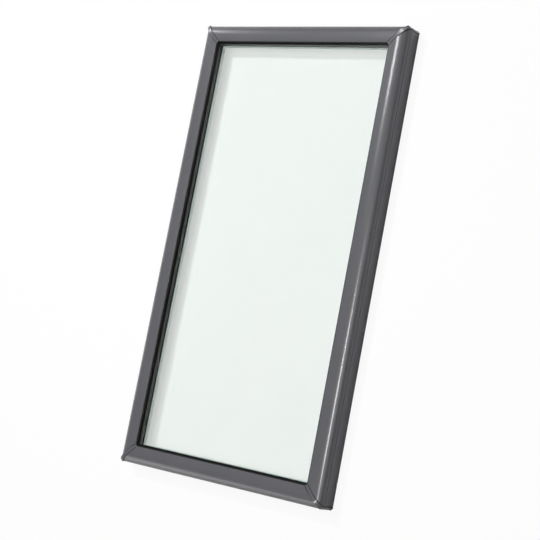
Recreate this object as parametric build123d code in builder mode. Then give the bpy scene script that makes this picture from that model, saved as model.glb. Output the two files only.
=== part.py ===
"""Fixed curb mount skylight, millimetres, lying level on the lower edges of its skirt.

The origin is the centre of the base: X runs across, +Y runs up the slope to the top member and
+Z points out of the glass. Every section is drawn once, in a plane that stands on the outer side
of one member, with its first axis running inward from that side and its second axis up.
"""
from build123d import *
from math import cos, radians, sin, sqrt
import os

# Curb that the skylight covers
CURB_OPENING_WIDTH = 571.5
CURB_OPENING_LENGTH = 1181.1
CURB_WALL = 38.1
SKIRT_STANDOFF = 23.65  # curb's outer face to the outer face of the skirt
CURB_LAP = 20.0  # how far the skirt hangs below the top of the curb

# Bullnose cladding: three tangent arcs, from the side over the crest to the lip at the glass
SHOULDER_R = 20.0
SHOULDER_TURN = 46.0
CROWN_R = 33.0
FACE_R = 65.0
FACE_TURN = 18.9
CLADDING_SHEET = 1.6
HEM_RETURN = 3.0
RIB_THICKNESS = 1.6
LIP_LEG_WIDTH = 2.0
LIP_DROP = 2.4
LIP_EDGE_R = 0.7
SEAM_GAP = 1.4  # shadow gap between the hem and the shoulder of the skirt

# Skirt
SKIRT_SHEET = 1.5
SKIRT_JOGGLE = 7.0
SKIRT_LEG = 9.0  # leg that stands behind the cladding
SKIRT_BEND_R = 1.2
SKIRT_HEM = 8.0
DRIP_GROOVE_R = 0.7
DRIP_GROOVE_Z = 5.5

# Corner covers
COVER_WIDTH = 9.4
COVER_PROUD = 0.8
COVER_DEPTH = 4.0
COVER_GAP = 0.9
COVER_FOOT = 0.5  # height of its lower end above the base
COVER_TOE = 1.2
COVER_TOE_HEIGHT = 4.5

# Insulating frame
CURB_GASKET = 6.0
CURB_GASKET_MARGIN = 3.0
FRAME_SHELF = 9.0
FRAME_WALL = 2.2
FRAME_CHAMFER = 6.0
FRAME_REVEAL = 1.75  # frame's inner face short of the curb's inner face
LOCATOR_WIDTH = 10.0
LOCATOR_CLEARANCE = 2.15
LOCATOR_DROP = 20.0
LOCATOR_WALL = 1.8

# Glass unit
TAPE = 2.0
TAPE_MARGIN = 3.0
INNER_PANE = 5.4
AIR_SPACE = 11.5
OUTER_PANE = 3.0
GLASS_BITE = 11.5  # glass edge behind the lip
GLASS_EDGE_CLEARANCE = 2.5
SPACER_WIDTH = 7.0
SIGHT_INSET = 7.45  # spacer's inner face ahead of the lip
GLAZING_GASKET = 4.6
GASKET_HEEL = 8.0
GASKET_NOSE = 2.2
GASKET_NOSE_TOP = 0.6

# Heights, from the base up
seat_z = CURB_LAP
frame_z = seat_z + CURB_GASKET
shelf_z = frame_z + FRAME_SHELF
inner_pane_z = shelf_z + TAPE
air_z = inner_pane_z + INNER_PANE
outer_pane_z = air_z + AIR_SPACE
glass_top_z = outer_pane_z + OUTER_PANE
leg_foot_z = glass_top_z + GLAZING_GASKET
lip_z = leg_foot_z + LIP_DROP

# Arc centres of the bullnose; each shares a normal with the next
turn = radians(180 - SHOULDER_TURN)
fall = radians(90 - FACE_TURN)
crown_step = SHOULDER_R - CROWN_R
rise = crown_step * sin(turn) + (CROWN_R - FACE_R) + FACE_R * sin(fall)
side_top_z = lip_z - rise
shoulder_centre = (SHOULDER_R, side_top_z)
crown_centre = (SHOULDER_R + crown_step * cos(turn), side_top_z + crown_step * sin(turn))
face_centre = (crown_centre[0], crown_centre[1] + CROWN_R - FACE_R)
crest_z = crown_centre[1] + CROWN_R
lip_u = face_centre[0] + FACE_R * cos(fall)
skirt_top_z = side_top_z - SEAM_GAP

# Distances inward from the side
frame_outer_u = SKIRT_JOGGLE + SKIRT_SHEET
curb_inner_u = SKIRT_STANDOFF + CURB_WALL
frame_inner_u = curb_inner_u - FRAME_REVEAL
glass_edge_u = lip_u - GLASS_BITE
upright_inner_u = glass_edge_u - GLASS_EDGE_CLEARANCE
sight_u = lip_u + SIGHT_INSET
locator_inner_u = SKIRT_STANDOFF - LOCATOR_CLEARANCE

WIDTH = CURB_OPENING_WIDTH + 2 * curb_inner_u
LENGTH = CURB_OPENING_LENGTH + 2 * curb_inner_u

SIDES = {
    "right": (Plane((WIDTH / 2, 0, 0), x_dir=(-1, 0, 0), z_dir=(0, 1, 0)), LENGTH),
    "left": (Plane((-WIDTH / 2, 0, 0), x_dir=(1, 0, 0), z_dir=(0, -1, 0)), LENGTH),
    "top": (Plane((0, LENGTH / 2, 0), x_dir=(0, -1, 0), z_dir=(-1, 0, 0)), WIDTH),
    "bottom": (Plane((0, -LENGTH / 2, 0), x_dir=(0, 1, 0), z_dir=(1, 0, 0)), WIDTH),
}

os.makedirs("parts", exist_ok=True)


def save(piece, label):
    """Name a finished piece and write it."""
    piece.part.label = label
    export_step(piece.part, f"parts/{label}.step")


def box(u0, u1, z0, z1, mode=Mode.ADD):
    """Rectangle of a section between two distances inward and two heights."""
    with Locations(((u0 + u1) / 2, (z0 + z1) / 2)):
        Rectangle(u1 - u0, z1 - z0, mode=mode)


def bullnose(offset):
    """The bullnose's arcs at an offset outward, and their two ends."""
    shoulder = CenterArc(shoulder_centre, SHOULDER_R + offset, 180, -SHOULDER_TURN)
    CenterArc(crown_centre, CROWN_R + offset, 180 - SHOULDER_TURN, SHOULDER_TURN - 90)
    face = CenterArc(face_centre, FACE_R + offset, 90, -FACE_TURN)
    return shoulder @ 0, face @ 1


def mitre(side, length, setback=0.0):
    """Cut both ends of an extruded member on the corner planes, less a setback."""
    for end in (-1, 1):
        into = (side.x_dir + side.z_dir * end).normalized() * -1
        corner = side.origin + side.z_dir * (end * length / 2)
        split(bisect_by=Plane(corner + into * setback, z_dir=into), keep=Keep.TOP)


for name, (side, length) in SIDES.items():
    # Cladding: a bent shell with a hem, a bearing rib under the crest and a leg on the gasket
    with BuildPart() as cladding:
        with BuildSketch(side) as section:
            with BuildLine():
                hem_out, lip_out = bullnose(0)
                hem_in, lip_in = bullnose(-CLADDING_SHEET)
                Line(hem_out, hem_in)
                Line(lip_out, lip_in)
            make_face()
            box(lip_u - LIP_LEG_WIDTH, lip_u, leg_foot_z, lip_z)
            rib_u = crown_centre[0] - RIB_THICKNESS / 2
            box(rib_u, rib_u + RIB_THICKNESS, glass_top_z, crest_z - CLADDING_SHEET / 2)
            hem_end_u = CLADDING_SHEET + HEM_RETURN
            box(CLADDING_SHEET / 2, hem_end_u, side_top_z, side_top_z + CLADDING_SHEET)
            fillet(section.vertices().sort_by_distance(lip_out)[0], radius=LIP_EDGE_R)
        extrude(amount=length / 2, both=True)
        mitre(side, length, COVER_WIDTH / 2 + COVER_GAP)
    save(cladding, f"cladding_{name}")

    # Skirt: a hemmed sheet with a joggle that carries its upper leg behind the cladding
    with BuildPart() as skirt:
        with BuildSketch(side):
            with BuildLine():
                FilletPolyline(
                    (0, 0),
                    (0, skirt_top_z),
                    (SKIRT_JOGGLE, skirt_top_z),
                    (SKIRT_JOGGLE, skirt_top_z + SKIRT_LEG),
                    radius=SKIRT_BEND_R,
                )
                Polyline(
                    (SKIRT_JOGGLE, skirt_top_z + SKIRT_LEG),
                    (frame_outer_u, skirt_top_z + SKIRT_LEG),
                    (frame_outer_u, skirt_top_z - SKIRT_SHEET),
                    (SKIRT_SHEET, skirt_top_z - SKIRT_SHEET),
                    (SKIRT_SHEET, SKIRT_HEM),
                    (2 * SKIRT_SHEET, SKIRT_HEM),
                    (2 * SKIRT_SHEET, 0),
                    (0, 0),
                )
            make_face()
            with Locations((0, DRIP_GROOVE_Z)):
                Circle(DRIP_GROOVE_R, mode=Mode.SUBTRACT)
        extrude(amount=length / 2, both=True)
        mitre(side, length, COVER_WIDTH / 2 + COVER_GAP)
    save(skirt, f"skirt_{name}")

    # Insulating frame: a chambered upright beside the glass unit and a shelf under it
    with BuildPart() as frame:
        with BuildSketch(side):
            with BuildLine():
                Polyline(
                    (frame_outer_u, frame_z),
                    (frame_outer_u, glass_top_z - FRAME_CHAMFER),
                    (frame_outer_u + FRAME_CHAMFER, glass_top_z),
                    (upright_inner_u, glass_top_z),
                    (upright_inner_u, shelf_z),
                    (frame_inner_u, shelf_z),
                    (frame_inner_u, frame_z),
                    (frame_outer_u, frame_z),
                )
            make_face()
            mid_u = (frame_outer_u + upright_inner_u) / 2
            web = FRAME_WALL / 2
            columns = (
                (frame_outer_u + FRAME_WALL, mid_u - web, glass_top_z - FRAME_CHAMFER),
                (mid_u + web, upright_inner_u - FRAME_WALL, glass_top_z),
            )
            for u0, u1, top in columns:
                box(u0, u1, frame_z + FRAME_WALL, shelf_z - web, Mode.SUBTRACT)
                box(u0, u1, shelf_z + web, top - FRAME_WALL, Mode.SUBTRACT)
            shelf_u0 = upright_inner_u + FRAME_WALL
            shelf_u1 = frame_inner_u - FRAME_WALL
            shelf_mid = (shelf_u0 + shelf_u1) / 2
            for u0, u1 in ((shelf_u0, shelf_mid - web), (shelf_mid + web, shelf_u1)):
                box(u0, u1, frame_z + FRAME_WALL, shelf_z - FRAME_WALL, Mode.SUBTRACT)
        extrude(amount=length / 2, both=True)
        mitre(side, length)
    save(frame, f"frame_{name}")

    # Locator: a hollow rail under the frame that centres the skylight over the curb
    with BuildPart() as locator:
        with BuildSketch(side):
            locator_u = locator_inner_u - LOCATOR_WIDTH
            box(locator_u, locator_inner_u, frame_z - LOCATOR_DROP, frame_z)
            box(
                locator_u + LOCATOR_WALL,
                locator_inner_u - LOCATOR_WALL,
                frame_z - LOCATOR_DROP + LOCATOR_WALL,
                frame_z - LOCATOR_WALL,
                Mode.SUBTRACT,
            )
        extrude(amount=length / 2, both=True)
        mitre(side, length)
    save(locator, f"locator_{name}")

    # Foam gasket that seats on the top of the curb
    with BuildPart() as curb_gasket:
        with BuildSketch(side):
            box(
                SKIRT_STANDOFF + CURB_GASKET_MARGIN,
                frame_inner_u - 2 * CURB_GASKET_MARGIN,
                seat_z,
                frame_z,
            )
        extrude(amount=length / 2, both=True)
        mitre(side, length)
    save(curb_gasket, f"curb_gasket_{name}")

    # Glazing tape that beds the glass unit on the shelf
    with BuildPart() as tape:
        with BuildSketch(side):
            box(glass_edge_u + TAPE_MARGIN, sight_u, shelf_z, inner_pane_z)
        extrude(amount=length / 2, both=True)
        mitre(side, length)
    save(tape, f"glazing_tape_{name}")

    # Glazing gasket between the outer pane and the lip, with a nose that shows past it
    with BuildPart() as gasket:
        with BuildSketch(side):
            with BuildLine():
                Polyline(
                    (lip_u - GASKET_HEEL, glass_top_z),
                    (lip_u + GASKET_NOSE, glass_top_z),
                    (lip_u + GASKET_NOSE_TOP, leg_foot_z),
                    (lip_u - GASKET_HEEL, leg_foot_z),
                    close=True,
                )
            make_face()
        extrude(amount=length / 2, both=True)
        mitre(side, length)
    save(gasket, f"glazing_gasket_{name}")

glass_width = WIDTH - 2 * glass_edge_u
glass_length = LENGTH - 2 * glass_edge_u

with BuildPart() as outer_pane:
    with BuildSketch(Plane.XY.offset(outer_pane_z)):
        Rectangle(glass_width, glass_length)
    extrude(amount=OUTER_PANE)
save(outer_pane, "outer_pane")

with BuildPart() as inner_pane:
    with BuildSketch(Plane.XY.offset(inner_pane_z)):
        Rectangle(glass_width, glass_length)
    extrude(amount=INNER_PANE)
save(inner_pane, "inner_pane")

seal_u = sight_u - SPACER_WIDTH
with BuildPart() as edge_seal:
    with BuildSketch(Plane.XY.offset(air_z)):
        Rectangle(glass_width, glass_length)
        Rectangle(WIDTH - 2 * seal_u, LENGTH - 2 * seal_u, mode=Mode.SUBTRACT)
    extrude(amount=AIR_SPACE)
save(edge_seal, "edge_seal")

with BuildPart() as spacer:
    with BuildSketch(Plane.XY.offset(air_z)):
        Rectangle(WIDTH - 2 * seal_u, LENGTH - 2 * seal_u)
        Rectangle(WIDTH - 2 * sight_u, LENGTH - 2 * sight_u, mode=Mode.SUBTRACT)
    extrude(amount=AIR_SPACE)
save(spacer, "spacer")

# Corner covers: a flat strip over each mitre. Its section is the member's, stretched to the
# mitre's diagonal, and cut off upright where its edges stand proud of the two skirts
STRETCH = sqrt(2)
cover_half = COVER_WIDTH / 2
upright_d = cover_half - COVER_PROUD * STRETCH
nose_d = lip_u * STRETCH + cover_half

for level, y_sign in (("top", 1), ("bottom", -1)):
    for hand, x_sign in (("left", -1), ("right", 1)):
        corner = Vector(x_sign * WIDTH / 2, y_sign * LENGTH / 2, 0)
        inward = Vector(-x_sign, -y_sign, 0).normalized()
        with BuildPart() as cover:
            with BuildSketch(Plane(corner, x_dir=inward, z_dir=inward.cross(Vector(0, 0, 1)))):
                with BuildLine():
                    side_out, lip_out = bullnose(COVER_PROUD)
                    side_in, lip_in = bullnose(-COVER_DEPTH)
                    Line(lip_out, lip_in)
                    Polyline(side_in, (side_in.X, COVER_FOOT), (side_out.X, COVER_FOOT), side_out)
                make_face()
                box(rib_u, rib_u + RIB_THICKNESS, glass_top_z, crest_z)
                scale(by=(STRETCH, 1, 1))
                box(side_out.X * STRETCH, upright_d, 0, crest_z, Mode.SUBTRACT)
                box(upright_d, upright_d + COVER_DEPTH, COVER_FOOT, side_top_z)
                toe_top_z = COVER_FOOT + COVER_TOE_HEIGHT
                box(upright_d - COVER_TOE, upright_d + COVER_DEPTH, COVER_FOOT, toe_top_z)
                box(glass_edge_u * STRETCH, nose_d, glass_top_z, leg_foot_z, Mode.SUBTRACT)
                box(lip_u * STRETCH - COVER_DEPTH, nose_d, leg_foot_z, lip_out.Y)
            extrude(amount=cover_half, both=True)
        save(cover, f"corner_cover_{level}_{hand}")
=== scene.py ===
"""Finishes, glazing bead, seals, studio and camera for a fixed curb mount skylight."""
import math

import bpy
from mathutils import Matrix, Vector


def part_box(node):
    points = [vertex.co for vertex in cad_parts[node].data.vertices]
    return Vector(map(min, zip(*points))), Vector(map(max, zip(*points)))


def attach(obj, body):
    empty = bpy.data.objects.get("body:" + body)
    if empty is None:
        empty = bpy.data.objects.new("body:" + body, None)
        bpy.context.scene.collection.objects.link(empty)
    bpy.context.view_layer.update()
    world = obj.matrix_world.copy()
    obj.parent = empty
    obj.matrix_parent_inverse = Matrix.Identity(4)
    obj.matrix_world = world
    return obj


bl_info = {
    "name": "Curb mount skylight",
    "version": (1, 0, 0),
    "blender": (4, 5, 0),
    "location": "3D View > Sidebar > Skylight",
    "description": "Dresses the skylight's frame with paint, glass, seals and a studio",
    "category": "Object",
}

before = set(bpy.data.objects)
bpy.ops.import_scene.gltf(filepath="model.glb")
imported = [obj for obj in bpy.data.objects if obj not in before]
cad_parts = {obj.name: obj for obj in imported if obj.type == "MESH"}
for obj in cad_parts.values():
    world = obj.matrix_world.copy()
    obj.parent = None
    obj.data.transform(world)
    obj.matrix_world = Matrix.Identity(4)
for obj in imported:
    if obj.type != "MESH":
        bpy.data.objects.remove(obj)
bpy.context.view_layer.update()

SIDES = ("top", "bottom", "left", "right")
CORNERS = ("top_left", "top_right", "bottom_left", "bottom_right")

# Bullnose of the cladding, in metres and degrees, measured from its hem
SHOULDER_R = 0.020
SHOULDER_TURN = 46.0
CROWN_R = 0.033
FACE_R = 0.065
FACE_TURN = 18.9
CROWN_U = SHOULDER_R + (CROWN_R - SHOULDER_R) * math.cos(math.radians(SHOULDER_TURN))
CROWN_Z = (SHOULDER_R - CROWN_R) * math.sin(math.radians(SHOULDER_TURN))

# Glazing bead: its distance from the lip, its height over the gasket's middle, and its corners
BEAD_INSET = 0.0012
BEAD_LIFT = 0.0012
BEAD_CORNER_R = 0.002

# Black seal between cladding and skirt, a dark strip that paints the shade of the seam: its drop under the
# hem, and its corners
SEAM_DROP = 0.0007
SEAM_CORNER_R = 0.011

# Black seals beside the corner covers, dark strips that paint the shade of the gaps there: where they
# start over the skirt's lower edge
MITRE_FOOT = 0.0015

# How finely the beads and seals are made
CORNER_STEPS = 4
ARC_STEPS = 9
BEAD_SIDES = 12
SEAL_SIDES = 10

# Second tones of the finishes, and the paper's own
PAINT_SPECK = (0.21, 0.21, 0.215)
RUBBER_DUST = (0.012, 0.013, 0.013)
FOAM_CELL = (0.02, 0.02, 0.02)
PLASTIC_HAZE = (0.73, 0.8, 0.76)
SPACER_DOT = (0.02, 0.02, 0.02)
GLASS_PALE = (0.984, 0.999, 0.99)
GLASS_TO_LAMPS = (0.985, 0.996, 0.989)
PAPER = (0.86, 0.86, 0.86)
PAPER_FIBRE = (0.93, 0.93, 0.93)
WHITE = (1.0, 1.0, 1.0)

# Half the width of the floor
FLOOR_HALF = 12.0

# Lamps, with one size if round and two if not, aimed at a point or hung level with a tilt about Y
MIDDLE = (0.0, 0.0, 0.0)
BOTTOM_MEMBER = (0.0, -0.65, 0.05)
TOP_LEFT_COVER = (-0.3, 0.63, 0.067)
BOTTOM_RIGHT_COVER = (0.334, -0.633, 0.066)
LAMPS = {
    "key": {"size": (0.5,), "aim": MIDDLE, "unseen": ("glossy", "transmission")},
    "soft": {"size": (2.4, 2.4), "aim": MIDDLE, "unseen": ("glossy", "transmission")},
    "card": {"size": (2.0, 1.2), "aim": BOTTOM_MEMBER, "unseen": ("diffuse",)},
    "glint": {"size": (0.4, 0.9), "tilt": 0.0, "unseen": ("diffuse",)},
    "corner": {"size": (0.14,), "aim": TOP_LEFT_COVER, "unseen": ("diffuse",)},
    "low": {"size": (0.12,), "aim": BOTTOM_RIGHT_COVER, "unseen": ("diffuse",)},
    "strip": {"size": (0.14, 0.9), "tilt": 31.0, "unseen": ("diffuse",)},
}


# Sockets and trees
class Term:
    """A node socket that can be used in Python expressions on values."""

    def __init__(self, tree, socket):
        self.tree = tree
        self.socket = socket

    def _math(self, operation, *values):
        return self.tree.term("ShaderNodeMath", {"operation": operation}, values)

    def __add__(self, other):
        return self._math("ADD", self, other)

    def __radd__(self, other):
        return self._math("ADD", other, self)

    def __sub__(self, other):
        return self._math("SUBTRACT", self, other)

    def __rsub__(self, other):
        return self._math("SUBTRACT", other, self)

    def __mul__(self, other):
        return self._math("MULTIPLY", self, other)

    def __rmul__(self, other):
        return self._math("MULTIPLY", other, self)

    def larger(self, other):
        return self._math("MAXIMUM", self, other)

    def over(self, low, high):
        """0 below low, 1 above high, smooth between."""
        smooth = {"interpolation_type": "SMOOTHSTEP"}
        return self.tree.term("ShaderNodeMapRange", smooth, (self, low, high, 0.0, 1.0))


class Tree:
    """A node tree whose nodes are added with their settings and inputs in one call."""

    def __init__(self, tree):
        self.tree = tree
        tree.nodes.clear()

    def node(self, kind, settings=None, inputs=()):
        """A new node, its settings made first, then its sockets set or linked."""
        node = self.tree.nodes.new(kind)
        for name, value in (settings or {}).items():
            setattr(node, name, value)
        pairs = inputs.items() if isinstance(inputs, dict) else enumerate(inputs)
        for key, value in pairs:
            socket = node.inputs[key]
            if isinstance(value, Term):
                self.tree.links.new(value.socket, socket)
            elif isinstance(value, bpy.types.NodeSocket):
                self.tree.links.new(value, socket)
            else:
                socket.default_value = value
        return node

    def term(self, kind, settings=None, inputs=(), output=0):
        """One output of a new node."""
        return Term(self, self.node(kind, settings, inputs).outputs[output])


def rgba(colour):
    return (colour[0], colour[1], colour[2], 1.0)


def surface(name):
    """A new material and its tree, with Object coordinates."""
    material = bpy.data.materials.new(name)
    material.use_nodes = True
    tree = Tree(material.node_tree)
    place = tree.term("ShaderNodeTexCoord", output="Object")
    return material, tree, place


def noise(tree, place, scale, detail):
    return tree.term("ShaderNodeTexNoise", {}, {"Vector": place, "Scale": scale, "Detail": detail})


def cells(tree, place, scale):
    return tree.term("ShaderNodeTexVoronoi", {}, {"Vector": place, "Scale": scale}, output="Distance")


def mixed(tree, share, low, high):
    """A colour between two, by a share from 0 to 1."""
    return tree.term("ShaderNodeMix", {"data_type": "RGBA"}, {0: share, 6: low, 7: high}, output=2)


def bumped(tree, height, strength, distance):
    inputs = {"Strength": strength, "Distance": distance, "Height": height}
    return tree.term("ShaderNodeBump", {}, inputs)


def principled(tree, inputs):
    return tree.node("ShaderNodeBsdfPrincipled", {}, inputs).outputs[0]


def blended(tree, share, low, high):
    """One shader mixed over another."""
    return tree.node("ShaderNodeMixShader", {}, {0: share, 1: low, 2: high}).outputs[0]


def surfaced(tree, shader):
    tree.node("ShaderNodeOutputMaterial", {}, {0: shader})


# Materials
def painted_metal(colour, warm, roughness):
    """Satin paint on aluminium: fine orange peel, faint cloudy tone and a soft clear top."""
    material, tree, place = surface("painted_aluminium")
    cloud = noise(tree, place, 9.0, 3.0).over(0.35, 0.68)
    grain = noise(tree, place, 520.0, 2.0)
    peel = noise(tree, place, 260.0, 1.0)
    tone = mixed(tree, cloud, rgba(colour), rgba(warm))
    inputs = {
        "Base Color": mixed(tree, grain.over(0.62, 0.8) * 0.25, tone, rgba(PAINT_SPECK)),
        "Roughness": roughness + (grain - 0.5) * 0.08,
        "Normal": bumped(tree, peel + grain * 0.4, 0.007, 0.0004),
        "Specular IOR Level": 0.35,
        "Coat Weight": 0.4,
        "Coat Roughness": 0.19,
    }
    surfaced(tree, principled(tree, inputs))
    return material


def black_rubber(colour):
    """Extruded rubber: dusty streaks over a fine grain."""
    material, tree, place = surface("black_rubber")
    grain = noise(tree, place, 700.0, 2.0)
    streak = noise(tree, place, 30.0, 3.0)
    inputs = {
        "Base Color": mixed(tree, streak.over(0.4, 0.75) * 0.5, rgba(colour), rgba(RUBBER_DUST)),
        "Roughness": 0.5 + grain * 0.2,
        "Specular IOR Level": 0.25,
        "Normal": bumped(tree, grain, 0.15, 0.0003),
    }
    surfaced(tree, principled(tree, inputs))
    return material


def seat_foam(colour):
    """Closed-cell foam."""
    material, tree, place = surface("seat_foam")
    bubbles = cells(tree, place, 900.0)
    inputs = {
        "Base Color": mixed(tree, bubbles.over(0.1, 0.6), rgba(FOAM_CELL), rgba(colour)),
        "Roughness": 0.9,
        "Normal": bumped(tree, bubbles, 0.5, 0.0006),
    }
    surfaced(tree, principled(tree, inputs))
    return material


def frame_plastic(colour):
    """Pale extruded plastic: fine level lines and a faint haze."""
    material, tree, place = surface("frame_plastic")
    draw = tree.term("ShaderNodeMapping", {}, {"Vector": place, "Scale": (40.0, 40.0, 400.0)})
    lines = noise(tree, draw, 3.0, 2.0)
    haze = noise(tree, place, 6.0, 3.0)
    inputs = {
        "Base Color": mixed(tree, haze.over(0.3, 0.8), rgba(colour), rgba(PLASTIC_HAZE)),
        "Roughness": 0.38 + lines * 0.12,
        "Normal": bumped(tree, lines, 0.08, 0.0004),
    }
    surfaced(tree, principled(tree, inputs))
    return material


def spacer_metal(colour):
    """Dark coated spacer bar, finely dotted."""
    material, tree, place = surface("spacer_metal")
    dots = cells(tree, place, 260.0)
    inputs = {
        "Base Color": mixed(tree, dots.over(0.05, 0.2), rgba(SPACER_DOT), rgba(colour)),
        "Roughness": 0.32,
        "Normal": bumped(tree, dots, 0.1, 0.0003),
    }
    surfaced(tree, principled(tree, inputs))
    return material


def clear_glass(colour):
    """Float glass with a faint green body that lets lamplight through."""
    material, tree, place = surface("pane_glass")
    haze = noise(tree, place, 2.2, 3.0)
    smear = noise(tree, place, 14.0, 4.0)
    inputs = {
        "Base Color": mixed(tree, haze.over(0.3, 0.7), rgba(colour), rgba(GLASS_PALE)),
        "Roughness": smear.over(0.55, 0.9) * 0.02,
        "IOR": 1.3,
        "Transmission Weight": 1.0,
    }
    glass = principled(tree, inputs)
    ray = tree.node("ShaderNodeLightPath")
    lamp = Term(tree, ray.outputs["Is Shadow Ray"]).larger(Term(tree, ray.outputs["Is Diffuse Ray"]))
    through = tree.node("ShaderNodeBsdfTransparent", {}, {"Color": rgba(GLASS_TO_LAMPS)}).outputs[0]
    surfaced(tree, blended(tree, lamp, glass, through))
    return material


def floor_paper(shade, shade_through):
    """White studio paper, with its shadows kept at a share: one seen directly, one through glass."""
    material, tree, place = surface("studio_paper")
    fibre = noise(tree, place, 180.0, 3.0)
    tone = mixed(tree, fibre.over(0.3, 0.7), rgba(PAPER), rgba(PAPER_FIBRE))
    paper = tree.node("ShaderNodeBsdfDiffuse", {}, {"Color": tone}).outputs[0]
    white = tree.node("ShaderNodeEmission", {}, {"Color": rgba(WHITE), "Strength": 1.0}).outputs[0]
    ray = tree.node("ShaderNodeLightPath")
    direct = Term(tree, ray.outputs["Is Camera Ray"]) * (1.0 - shade)
    through = Term(tree, ray.outputs["Is Transmission Ray"]) * (1.0 - shade_through)
    surfaced(tree, blended(tree, direct.larger(through), paper, white))
    return material


def give(nodes, material):
    """Put a material on CAD nodes."""
    for node in nodes:
        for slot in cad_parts[node].material_slots:
            slot.link = "OBJECT"
            slot.material = material


# Bead, and seals that paint the shade of the gaps
def node_group(name, sockets):
    """A new geometry nodes group with the given inputs and one geometry output."""
    group = bpy.data.node_groups.new(name, "GeometryNodeTree")
    for label, kind, default in sockets:
        socket = group.interface.new_socket(label, in_out="INPUT", socket_type=kind)
        if default is not None:
            socket.default_value = default
    group.interface.new_socket("Geometry", in_out="OUTPUT", socket_type="NodeSocketGeometry")
    return group


def sweep(tree, path, sides, radius, material, caps):
    """A round section along a path, made a smooth real mesh with its material."""
    ring = {"Resolution": sides, "Radius": radius}
    section = tree.term("GeometryNodeCurvePrimitiveCircle", {"mode": "RADIUS"}, ring)
    swept = tree.term(
        "GeometryNodeCurveToMesh", {}, {"Curve": path, "Profile Curve": section, "Fill Caps": caps}
    )
    smooth = tree.term("GeometryNodeSetShadeSmooth", {}, {"Geometry": swept})
    real = tree.term("GeometryNodeRealizeInstances", {}, {"Geometry": smooth})
    coated = tree.term("GeometryNodeSetMaterial", {}, {"Geometry": real, "Material": material})
    tree.node("NodeGroupOutput", {}, {0: coated})


def bead_tree(material):
    """Geometry nodes: a bead of round section that follows a level rectangle with round corners."""
    sockets = (
        ("Half width", "NodeSocketFloat", 0.3),
        ("Half length", "NodeSocketFloat", 0.6),
        ("Height", "NodeSocketFloat", 0.05),
        ("Corner radius", "NodeSocketFloat", 0.001),
        ("Bead radius", "NodeSocketFloat", 0.001),
    )
    group = node_group("bead_round_frame", sockets)
    tree = Tree(group)
    given = tree.node("NodeGroupInput")
    half_width, half_length, height, corner, radius = (
        Term(tree, given.outputs[label]) for label, kind, default in sockets
    )
    path = tree.term(
        "GeometryNodeCurvePrimitiveQuadrilateral",
        {"mode": "RECTANGLE"},
        {"Width": half_width * 2.0, "Height": half_length * 2.0},
    )
    turns = {"Curve": path, "Count": CORNER_STEPS, "Radius": corner}
    rounded = tree.term("GeometryNodeFilletCurve", {"mode": "POLY"}, turns)
    lift = tree.term("ShaderNodeCombineXYZ", {}, {"Z": height})
    placed = tree.term("GeometryNodeTransform", {}, {"Geometry": rounded, "Translation": lift})
    sweep(tree, placed, BEAD_SIDES, radius, material, False)
    return group


def shade_seal_tree(material):
    """Geometry nodes: a round seal, here a dark strip that paints the shade of a gap, that follows every
    run of edges it is given.
    """
    sockets = (
        ("Geometry", "NodeSocketGeometry", None),
        ("Seal radius", "NodeSocketFloat", 0.0008),
        ("Sides", "NodeSocketInt", SEAL_SIDES),
    )
    group = node_group("seal_along_path", sockets)
    tree = Tree(group)
    given = tree.node("NodeGroupInput")
    path = tree.term("GeometryNodeMeshToCurve", {}, {"Mesh": given.outputs["Geometry"]})
    sweep(tree, path, given.outputs["Sides"], given.outputs["Seal radius"], material, True)
    return group


def bullnose_points(sink):
    """Section sunk into the cladding's outer face, hem to lip: distance inward and height."""
    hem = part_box("cladding_right")[0].z
    points = []
    for centre_u, centre_z, radius, start, end in (
        (SHOULDER_R, 0.0, SHOULDER_R, 180.0, 180.0 - SHOULDER_TURN),
        (CROWN_U, CROWN_Z, CROWN_R, 180.0 - SHOULDER_TURN, 90.0),
        (CROWN_U, CROWN_Z + CROWN_R - FACE_R, FACE_R, 90.0, 90.0 - FACE_TURN),
    ):
        reach = radius - sink
        for step in range(ARC_STEPS):
            angle = math.radians(start + (end - start) * step / ARC_STEPS)
            u = centre_u + reach * math.cos(angle)
            points.append((u, hem + centre_z + reach * math.sin(angle)))
    return points


def mitre_paths(section, offset):
    """Corners of the runs beside the corner covers: up each side, then over the bullnose."""
    corner_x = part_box("cladding_right")[1].x
    corner_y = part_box("cladding_top")[1].y
    run = [(section[0][0], MITRE_FOOT)] + section
    places, edges = [], []
    for sign_x in (-1, 1):
        for sign_y in (-1, 1):
            inward = Vector((-sign_x, -sign_y, 0.0)).normalized()
            across = Vector((-inward.y, inward.x, 0.0))
            for hand in (-1, 1):
                for index, (u, z) in enumerate(run):
                    place = Vector((corner_x * sign_x, corner_y * sign_y, z))
                    place += inward * (u * math.sqrt(2.0) + offset) + across * (hand * offset)
                    if index:
                        edges.append((len(places) - 1, len(places)))
                    places.append(tuple(place))
    return places, edges


def baked(name, group, sizes, places=(), edges=()):
    """An object made by a geometry nodes group with the given inputs, turned into a plain mesh."""
    given = bpy.data.meshes.new(name + "_path")
    given.from_pydata(places, edges, [])
    holder = bpy.data.objects.new(name + "_holder", given)
    bpy.context.scene.collection.objects.link(holder)
    modifier = holder.modifiers.new("sweep", "NODES")
    modifier.node_group = group
    keys = {
        item.name: item.identifier
        for item in group.interface.items_tree
        if item.item_type == "SOCKET" and item.in_out == "INPUT"
    }
    for label, value in sizes.items():
        modifier[keys[label]] = value
    holder.update_tag()
    graph = bpy.context.evaluated_depsgraph_get()
    mesh = bpy.data.meshes.new_from_object(holder.evaluated_get(graph), depsgraph=graph)
    mesh.name = name
    holder.modifiers.remove(modifier)
    bpy.data.objects.remove(holder)
    if not mesh.vertices:
        raise RuntimeError(name + " came out empty")
    piece = bpy.data.objects.new(name, mesh)
    bpy.context.scene.collection.objects.link(piece)
    return piece


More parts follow.
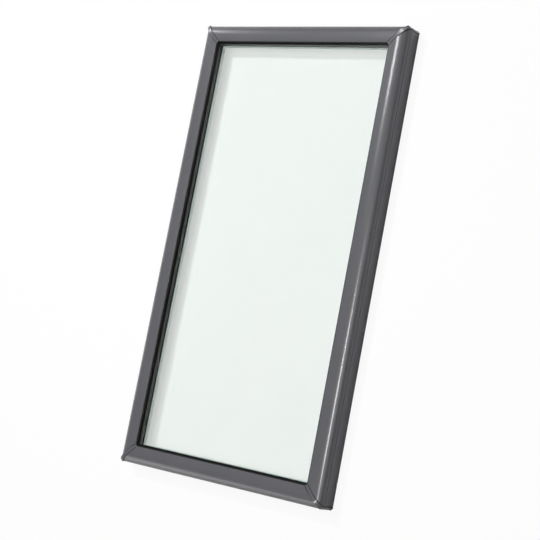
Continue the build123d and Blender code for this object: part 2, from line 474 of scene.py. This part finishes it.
def glazing_bead(kit, rubber):
    """Bead along the glazing gasket, between the cladding's lip and the glass."""
    glass_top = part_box("outer_pane")[1].z
    lip_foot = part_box("glazing_gasket_right")[1].z
    sizes = {
        "Half width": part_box("cladding_right")[0].x - BEAD_INSET,
        "Half length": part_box("cladding_top")[0].y - BEAD_INSET,
        "Height": (lip_foot + glass_top) / 2 + BEAD_LIFT,
        "Corner radius": BEAD_CORNER_R,
        "Bead radius": kit.bead_radius,
    }
    return baked("glazing_bead", bead_tree(rubber), sizes)


def seam_seal(kit, rubber):
    """Seal all round in the seam between cladding and skirt, a black strip that paints the seam's shade.
    """
    sizes = {
        "Half width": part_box("cladding_right")[1].x - kit.seam_depth,
        "Half length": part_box("cladding_top")[1].y - kit.seam_depth,
        "Height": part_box("cladding_right")[0].z - SEAM_DROP,
        "Corner radius": SEAM_CORNER_R,
        "Bead radius": kit.seam_radius,
    }
    return baked("seam_seal", bead_tree(rubber), sizes)


def mitre_seals(kit, rubber):
    """Seals in the gaps at both sides of each corner cover, black strips that paint the shade of those
    gaps.
    """
    places, edges = mitre_paths(bullnose_points(kit.mitre_sink), kit.mitre_offset)
    return baked("mitre_seals", shade_seal_tree(rubber), {"Seal radius": kit.mitre_radius}, places, edges)


# Stage
def lay_floor(kit):
    """A wide sheet of paper at the height of the skirt's lower edge."""
    mesh = bpy.data.meshes.new("floor")
    corners = [(x * FLOOR_HALF, y * FLOOR_HALF, 0.0) for x, y in ((-1, -1), (1, -1), (1, 1), (-1, 1))]
    mesh.from_pydata(corners, [], [(0, 1, 2, 3)])
    mesh.materials.append(floor_paper(kit.shadow_share, kit.shadow_through))
    floor = bpy.data.objects.new("floor", mesh)
    bpy.context.scene.collection.objects.link(floor)


def hang_lamp(name, place, power, size, unseen, aim=None, tilt=0.0):
    """An area lamp that points at aim, or straight down with a tilt about Y in degrees."""
    data = bpy.data.lights.new(name, "AREA")
    data.energy = power
    data.shape = "RECTANGLE" if len(size) == 2 else "DISK"
    data.size, data.size_y = size[0], size[-1]
    lamp = bpy.data.objects.new(name, data)
    lamp.location = place
    if aim is None:
        lamp.rotation_euler = (0.0, math.radians(tilt), 0.0)
    else:
        lamp.rotation_mode = "QUATERNION"
        lamp.rotation_quaternion = (Vector(aim) - Vector(place)).to_track_quat("-Z", "Y")
    for ray in unseen:
        setattr(lamp, "visible_" + ray, False)
    bpy.context.scene.collection.objects.link(lamp)


def light_room(strength):
    """Even light of the room, which the camera sees as white."""
    world = bpy.data.worlds.new("room")
    world.use_nodes = True
    tree = Tree(world.node_tree)
    ray = tree.node("ShaderNodeLightPath")
    room = tree.node("ShaderNodeBackground", {}, {"Color": rgba(WHITE), "Strength": strength}).outputs[0]
    white = tree.node("ShaderNodeBackground", {}, {"Color": rgba(WHITE), "Strength": 1.0}).outputs[0]
    both = blended(tree, ray.outputs["Is Camera Ray"], room, white)
    tree.node("ShaderNodeOutputWorld", {}, {0: both})
    bpy.context.scene.world = world


def set_camera(kit):
    """The camera that frames the skylight as in the photograph."""
    data = bpy.data.cameras.new("camera")
    data.sensor_width = 36.0
    data.lens = kit.lens
    data.shift_x, data.shift_y = kit.shift
    data.clip_end = 60.0
    camera = bpy.data.objects.new("camera", data)
    camera.location = kit.camera_place
    camera.rotation_euler = kit.camera_turn
    scene = bpy.context.scene
    scene.collection.objects.link(camera)
    scene.camera = camera
    scene.view_settings.view_transform = "Standard"


# Settings
class SkylightFinish(bpy.types.PropertyGroup):
    """Colours of the skylight's materials"""

    paint: bpy.props.FloatVectorProperty(
        name="Paint", description="Colour of the painted aluminium", subtype="COLOR",
        size=3, default=(0.113, 0.115, 0.127), min=0.0, max=1.0,
    )
    paint_warm: bpy.props.FloatVectorProperty(
        name="Paint, warm areas", description="Colour where the paint looks warmer", subtype="COLOR",
        size=3, default=(0.121, 0.118, 0.131), min=0.0, max=1.0,
    )
    paint_roughness: bpy.props.FloatProperty(
        name="Paint roughness", description="Roughness of the satin paint",
        default=0.42, min=0.0, max=1.0,
    )
    rubber: bpy.props.FloatVectorProperty(
        name="Rubber", description="Colour of gaskets and seals", subtype="COLOR",
        size=3, default=(0.005, 0.0055, 0.0055), min=0.0, max=1.0,
    )
    foam: bpy.props.FloatVectorProperty(
        name="Foam", description="Colour of the seat gasket", subtype="COLOR",
        size=3, default=(0.05, 0.05, 0.052), min=0.0, max=1.0,
    )
    plastic: bpy.props.FloatVectorProperty(
        name="Frame plastic", description="Colour of the insulating frame", subtype="COLOR",
        size=3, default=(0.76, 0.83, 0.79), min=0.0, max=1.0,
    )
    spacer: bpy.props.FloatVectorProperty(
        name="Spacer", description="Colour of the spacer bar", subtype="COLOR",
        size=3, default=(0.006, 0.007, 0.007), min=0.0, max=1.0,
    )
    glass: bpy.props.FloatVectorProperty(
        name="Glass", description="Body colour of the panes", subtype="COLOR",
        size=3, default=(0.978, 0.998, 0.985), min=0.0, max=1.0,
    )


class SkylightSeals(bpy.types.PropertyGroup):
    """Sizes of the bead and of the seals that paint the shade of the gaps"""

    bead_radius: bpy.props.FloatProperty(
        name="Glazing bead", description="Radius of the bead along the glazing gasket",
        default=0.0009, unit="LENGTH",
    )
    # The seam's seal and the mitre seals are black strips that paint the shade of the gaps they fill.
    seam_radius: bpy.props.FloatProperty(
        name="Seam seal", description="Radius of the seal between cladding and skirt",
        default=0.0018, unit="LENGTH",
    )
    seam_depth: bpy.props.FloatProperty(
        name="Seam depth", description="How far in from the side the seam's seal lies",
        default=0.0013, unit="LENGTH",
    )
    mitre_radius: bpy.props.FloatProperty(
        name="Mitre seals", description="Radius of the seals beside the corner covers",
        default=0.0013, unit="LENGTH",
    )
    mitre_offset: bpy.props.FloatProperty(
        name="Mitre offset", description="Distance of those seals from the mitre",
        default=0.00515, unit="LENGTH",
    )
    mitre_sink: bpy.props.FloatProperty(
        name="Mitre sink", description="How deep the middles of those seals lie under the face",
        default=0.0006, unit="LENGTH",
    )


class SkylightStage(bpy.types.PropertyGroup):
    """Camera, lamps and floor"""

    camera_place: bpy.props.FloatVectorProperty(
        name="Camera", description="Where the camera stands", subtype="TRANSLATION",
        size=3, default=(2.25147, -0.39338, 3.13984),
    )
    camera_turn: bpy.props.FloatVectorProperty(
        name="Camera turn", description="Turn of the camera about X, Y and Z", subtype="EULER",
        size=3, default=(math.radians(14.5488), math.radians(33.7776), math.radians(13.0738)),
    )
    lens: bpy.props.FloatProperty(
        name="Lens", description="Focal length in millimetres", default=91.919, min=1.0,
    )
    shift: bpy.props.FloatVectorProperty(
        name="Shift", description="Lens shift that frames the photograph",
        size=2, default=(-0.00548, -0.08671),
    )
    key_place: bpy.props.FloatVectorProperty(
        name="Key lamp", description="Where the key lamp hangs", subtype="TRANSLATION",
        size=3, default=(-1.6, 2.3, 3.9),
    )
    key_power: bpy.props.FloatProperty(
        name="Key power", description="Power of the key lamp in watts", default=122.0, min=0.0,
    )
    soft_place: bpy.props.FloatVectorProperty(
        name="Soft lamp", description="Where the large soft lamp hangs", subtype="TRANSLATION",
        size=3, default=(-0.3, 0.0, 2.9),
    )
    soft_power: bpy.props.FloatProperty(
        name="Soft power", description="Power of the large soft lamp in watts", default=52.0, min=0.0,
    )
    card_place: bpy.props.FloatVectorProperty(
        name="Front card", description="Where the bright card stands", subtype="TRANSLATION",
        size=3, default=(-1.8, -2.6, 0.8),
    )
    card_power: bpy.props.FloatProperty(
        name="Card power", description="Power of the front card in watts", default=24.0, min=0.0,
    )
    glint_place: bpy.props.FloatVectorProperty(
        name="Glint lamp", description="Where the lamp behind the right member's upper bright line hangs",
        subtype="TRANSLATION", size=3, default=(0.13, 1.18, 1.27),
    )
    glint_power: bpy.props.FloatProperty(
        name="Glint power", description="Power of the glint lamp in watts", default=31.0, min=0.0,
    )
    corner_place: bpy.props.FloatVectorProperty(
        name="Corner lamp", description="Where the small lamp beyond the top left corner hangs",
        subtype="TRANSLATION", size=3, default=(-0.73, 0.93, 0.31),
    )
    corner_power: bpy.props.FloatProperty(
        name="Corner power", description="Power of the corner lamp in watts", default=2.6, min=0.0,
    )
    low_place: bpy.props.FloatVectorProperty(
        name="Low lamp", description="Where the small lamp of the bottom right corner cover hangs",
        subtype="TRANSLATION", size=3, default=(0.121, -1.134, 1.135),
    )
    low_power: bpy.props.FloatProperty(
        name="Low power", description="Power of the low lamp in watts", default=2.5, min=0.0,
    )
    strip_place: bpy.props.FloatVectorProperty(
        name="Strip lamp", description="Where the lamp behind the right member's lower bright line hangs",
        subtype="TRANSLATION", size=3, default=(1.84, -0.33, 2.5),
    )
    strip_power: bpy.props.FloatProperty(
        name="Strip power", description="Power of the strip lamp in watts", default=54.0, min=0.0,
    )
    sky: bpy.props.FloatProperty(
        name="Room light", description="Strength of the even light of the room", default=0.12, min=0.0,
    )
    shadow_share: bpy.props.FloatProperty(
        name="Shadow share", description="How much of the floor's shading the camera sees",
        default=0.09, min=0.0, max=1.0,
    )
    shadow_through: bpy.props.FloatProperty(
        name="Shadow through glass", description="How much of the floor's shading shows through the panes",
        default=0.42, min=0.0, max=1.0,
    )


# Operators
class SKYLIGHT_OT_metal(bpy.types.Operator):
    """Paint the cladding, corner covers and skirts"""

    bl_idname = "skylight.metal"
    bl_label = "Paint the metal"

    def execute(self, context):
        kit = context.scene.skylight_finish
        paint = painted_metal(kit.paint, kit.paint_warm, kit.paint_roughness)
        give([f"{kind}_{side}" for kind in ("cladding", "skirt") for side in SIDES], paint)
        give([f"corner_cover_{corner}" for corner in CORNERS], paint)
        return {"FINISHED"}


class SKYLIGHT_OT_frame(bpy.types.Operator):
    """Finish the insulating frame, its locators and the foam seat"""

    bl_idname = "skylight.frame"
    bl_label = "Finish the inner frame"

    def execute(self, context):
        kit = context.scene.skylight_finish
        plastic = frame_plastic(kit.plastic)
        give([f"{kind}_{side}" for kind in ("frame", "locator") for side in SIDES], plastic)
        give([f"curb_gasket_{side}" for side in SIDES], seat_foam(kit.foam))
        return {"FINISHED"}


class SKYLIGHT_OT_glazing(bpy.types.Operator):
    """Finish the panes, spacer, gaskets and tape"""

    bl_idname = "skylight.glazing"
    bl_label = "Glaze"

    def execute(self, context):
        kit = context.scene.skylight_finish
        give(["outer_pane", "inner_pane"], clear_glass(kit.glass))
        rubber = black_rubber(kit.rubber)
        give([f"{kind}_{side}" for kind in ("glazing_gasket", "glazing_tape") for side in SIDES], rubber)
        give(["edge_seal"], rubber)
        give(["spacer"], spacer_metal(kit.spacer))
        return {"FINISHED"}


class SKYLIGHT_OT_seals(bpy.types.Operator):
    """Run the glazing bead, and the seam's seal and the seals beside the corner covers, which paint the
    shade of those gaps
    """

    bl_idname = "skylight.seals"
    bl_label = "Run the bead and seals"

    def execute(self, context):
        kit = context.scene.skylight_seals
        rubber = bpy.data.materials["black_rubber"]
        # The seam's seal and the mitre seals paint the shade of their gaps with black rubber.
        for make in (glazing_bead, seam_seal, mitre_seals):
            piece = make(kit, rubber)
            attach(piece, "root")
        return {"FINISHED"}


class SKYLIGHT_OT_stage(bpy.types.Operator):
    """Lay the floor, hang the lamps and set up the camera"""

    bl_idname = "skylight.stage"
    bl_label = "Set the stage"

    def execute(self, context):
        kit = context.scene.skylight_stage
        lay_floor(kit)
        for name, facts in LAMPS.items():
            place, power = getattr(kit, name + "_place"), getattr(kit, name + "_power")
            hang_lamp(name + "_lamp", place, power, **facts)
        light_room(kit.sky)
        set_camera(kit)
        return {"FINISHED"}


class SKYLIGHT_PT_panel(bpy.types.Panel):
    """Sizes and finishes of the skylight"""

    bl_idname = "SKYLIGHT_PT_panel"
    bl_label = "Skylight"
    bl_space_type = "VIEW_3D"
    bl_region_type = "UI"
    bl_category = "Skylight"

    def draw(self, context):
        layout = self.layout
        for operator in OPERATORS:
            layout.operator(operator.bl_idname)
        for name in GROUPS:
            group = getattr(context.scene, name)
            box = layout.box()
            for key in group.__annotations__:
                box.prop(group, key)


GROUPS = {
    "skylight_finish": SkylightFinish,
    "skylight_seals": SkylightSeals,
    "skylight_stage": SkylightStage,
}
OPERATORS = (
    SKYLIGHT_OT_metal,
    SKYLIGHT_OT_frame,
    SKYLIGHT_OT_glazing,
    SKYLIGHT_OT_seals,
    SKYLIGHT_OT_stage,
)


def register():
    for kind in (*GROUPS.values(), *OPERATORS, SKYLIGHT_PT_panel):
        bpy.utils.register_class(kind)
    for name, group in GROUPS.items():
        setattr(bpy.types.Scene, name, bpy.props.PointerProperty(type=group))


def unregister():
    for name in GROUPS:
        delattr(bpy.types.Scene, name)
    for kind in (SKYLIGHT_PT_panel, *reversed(OPERATORS), *reversed(list(GROUPS.values()))):
        bpy.utils.unregister_class(kind)


def main():
    register()
    bpy.ops.skylight.metal()
    bpy.ops.skylight.frame()
    bpy.ops.skylight.glazing()
    bpy.ops.skylight.seals()
    bpy.ops.skylight.stage()


if __name__ == "__main__":
    main()
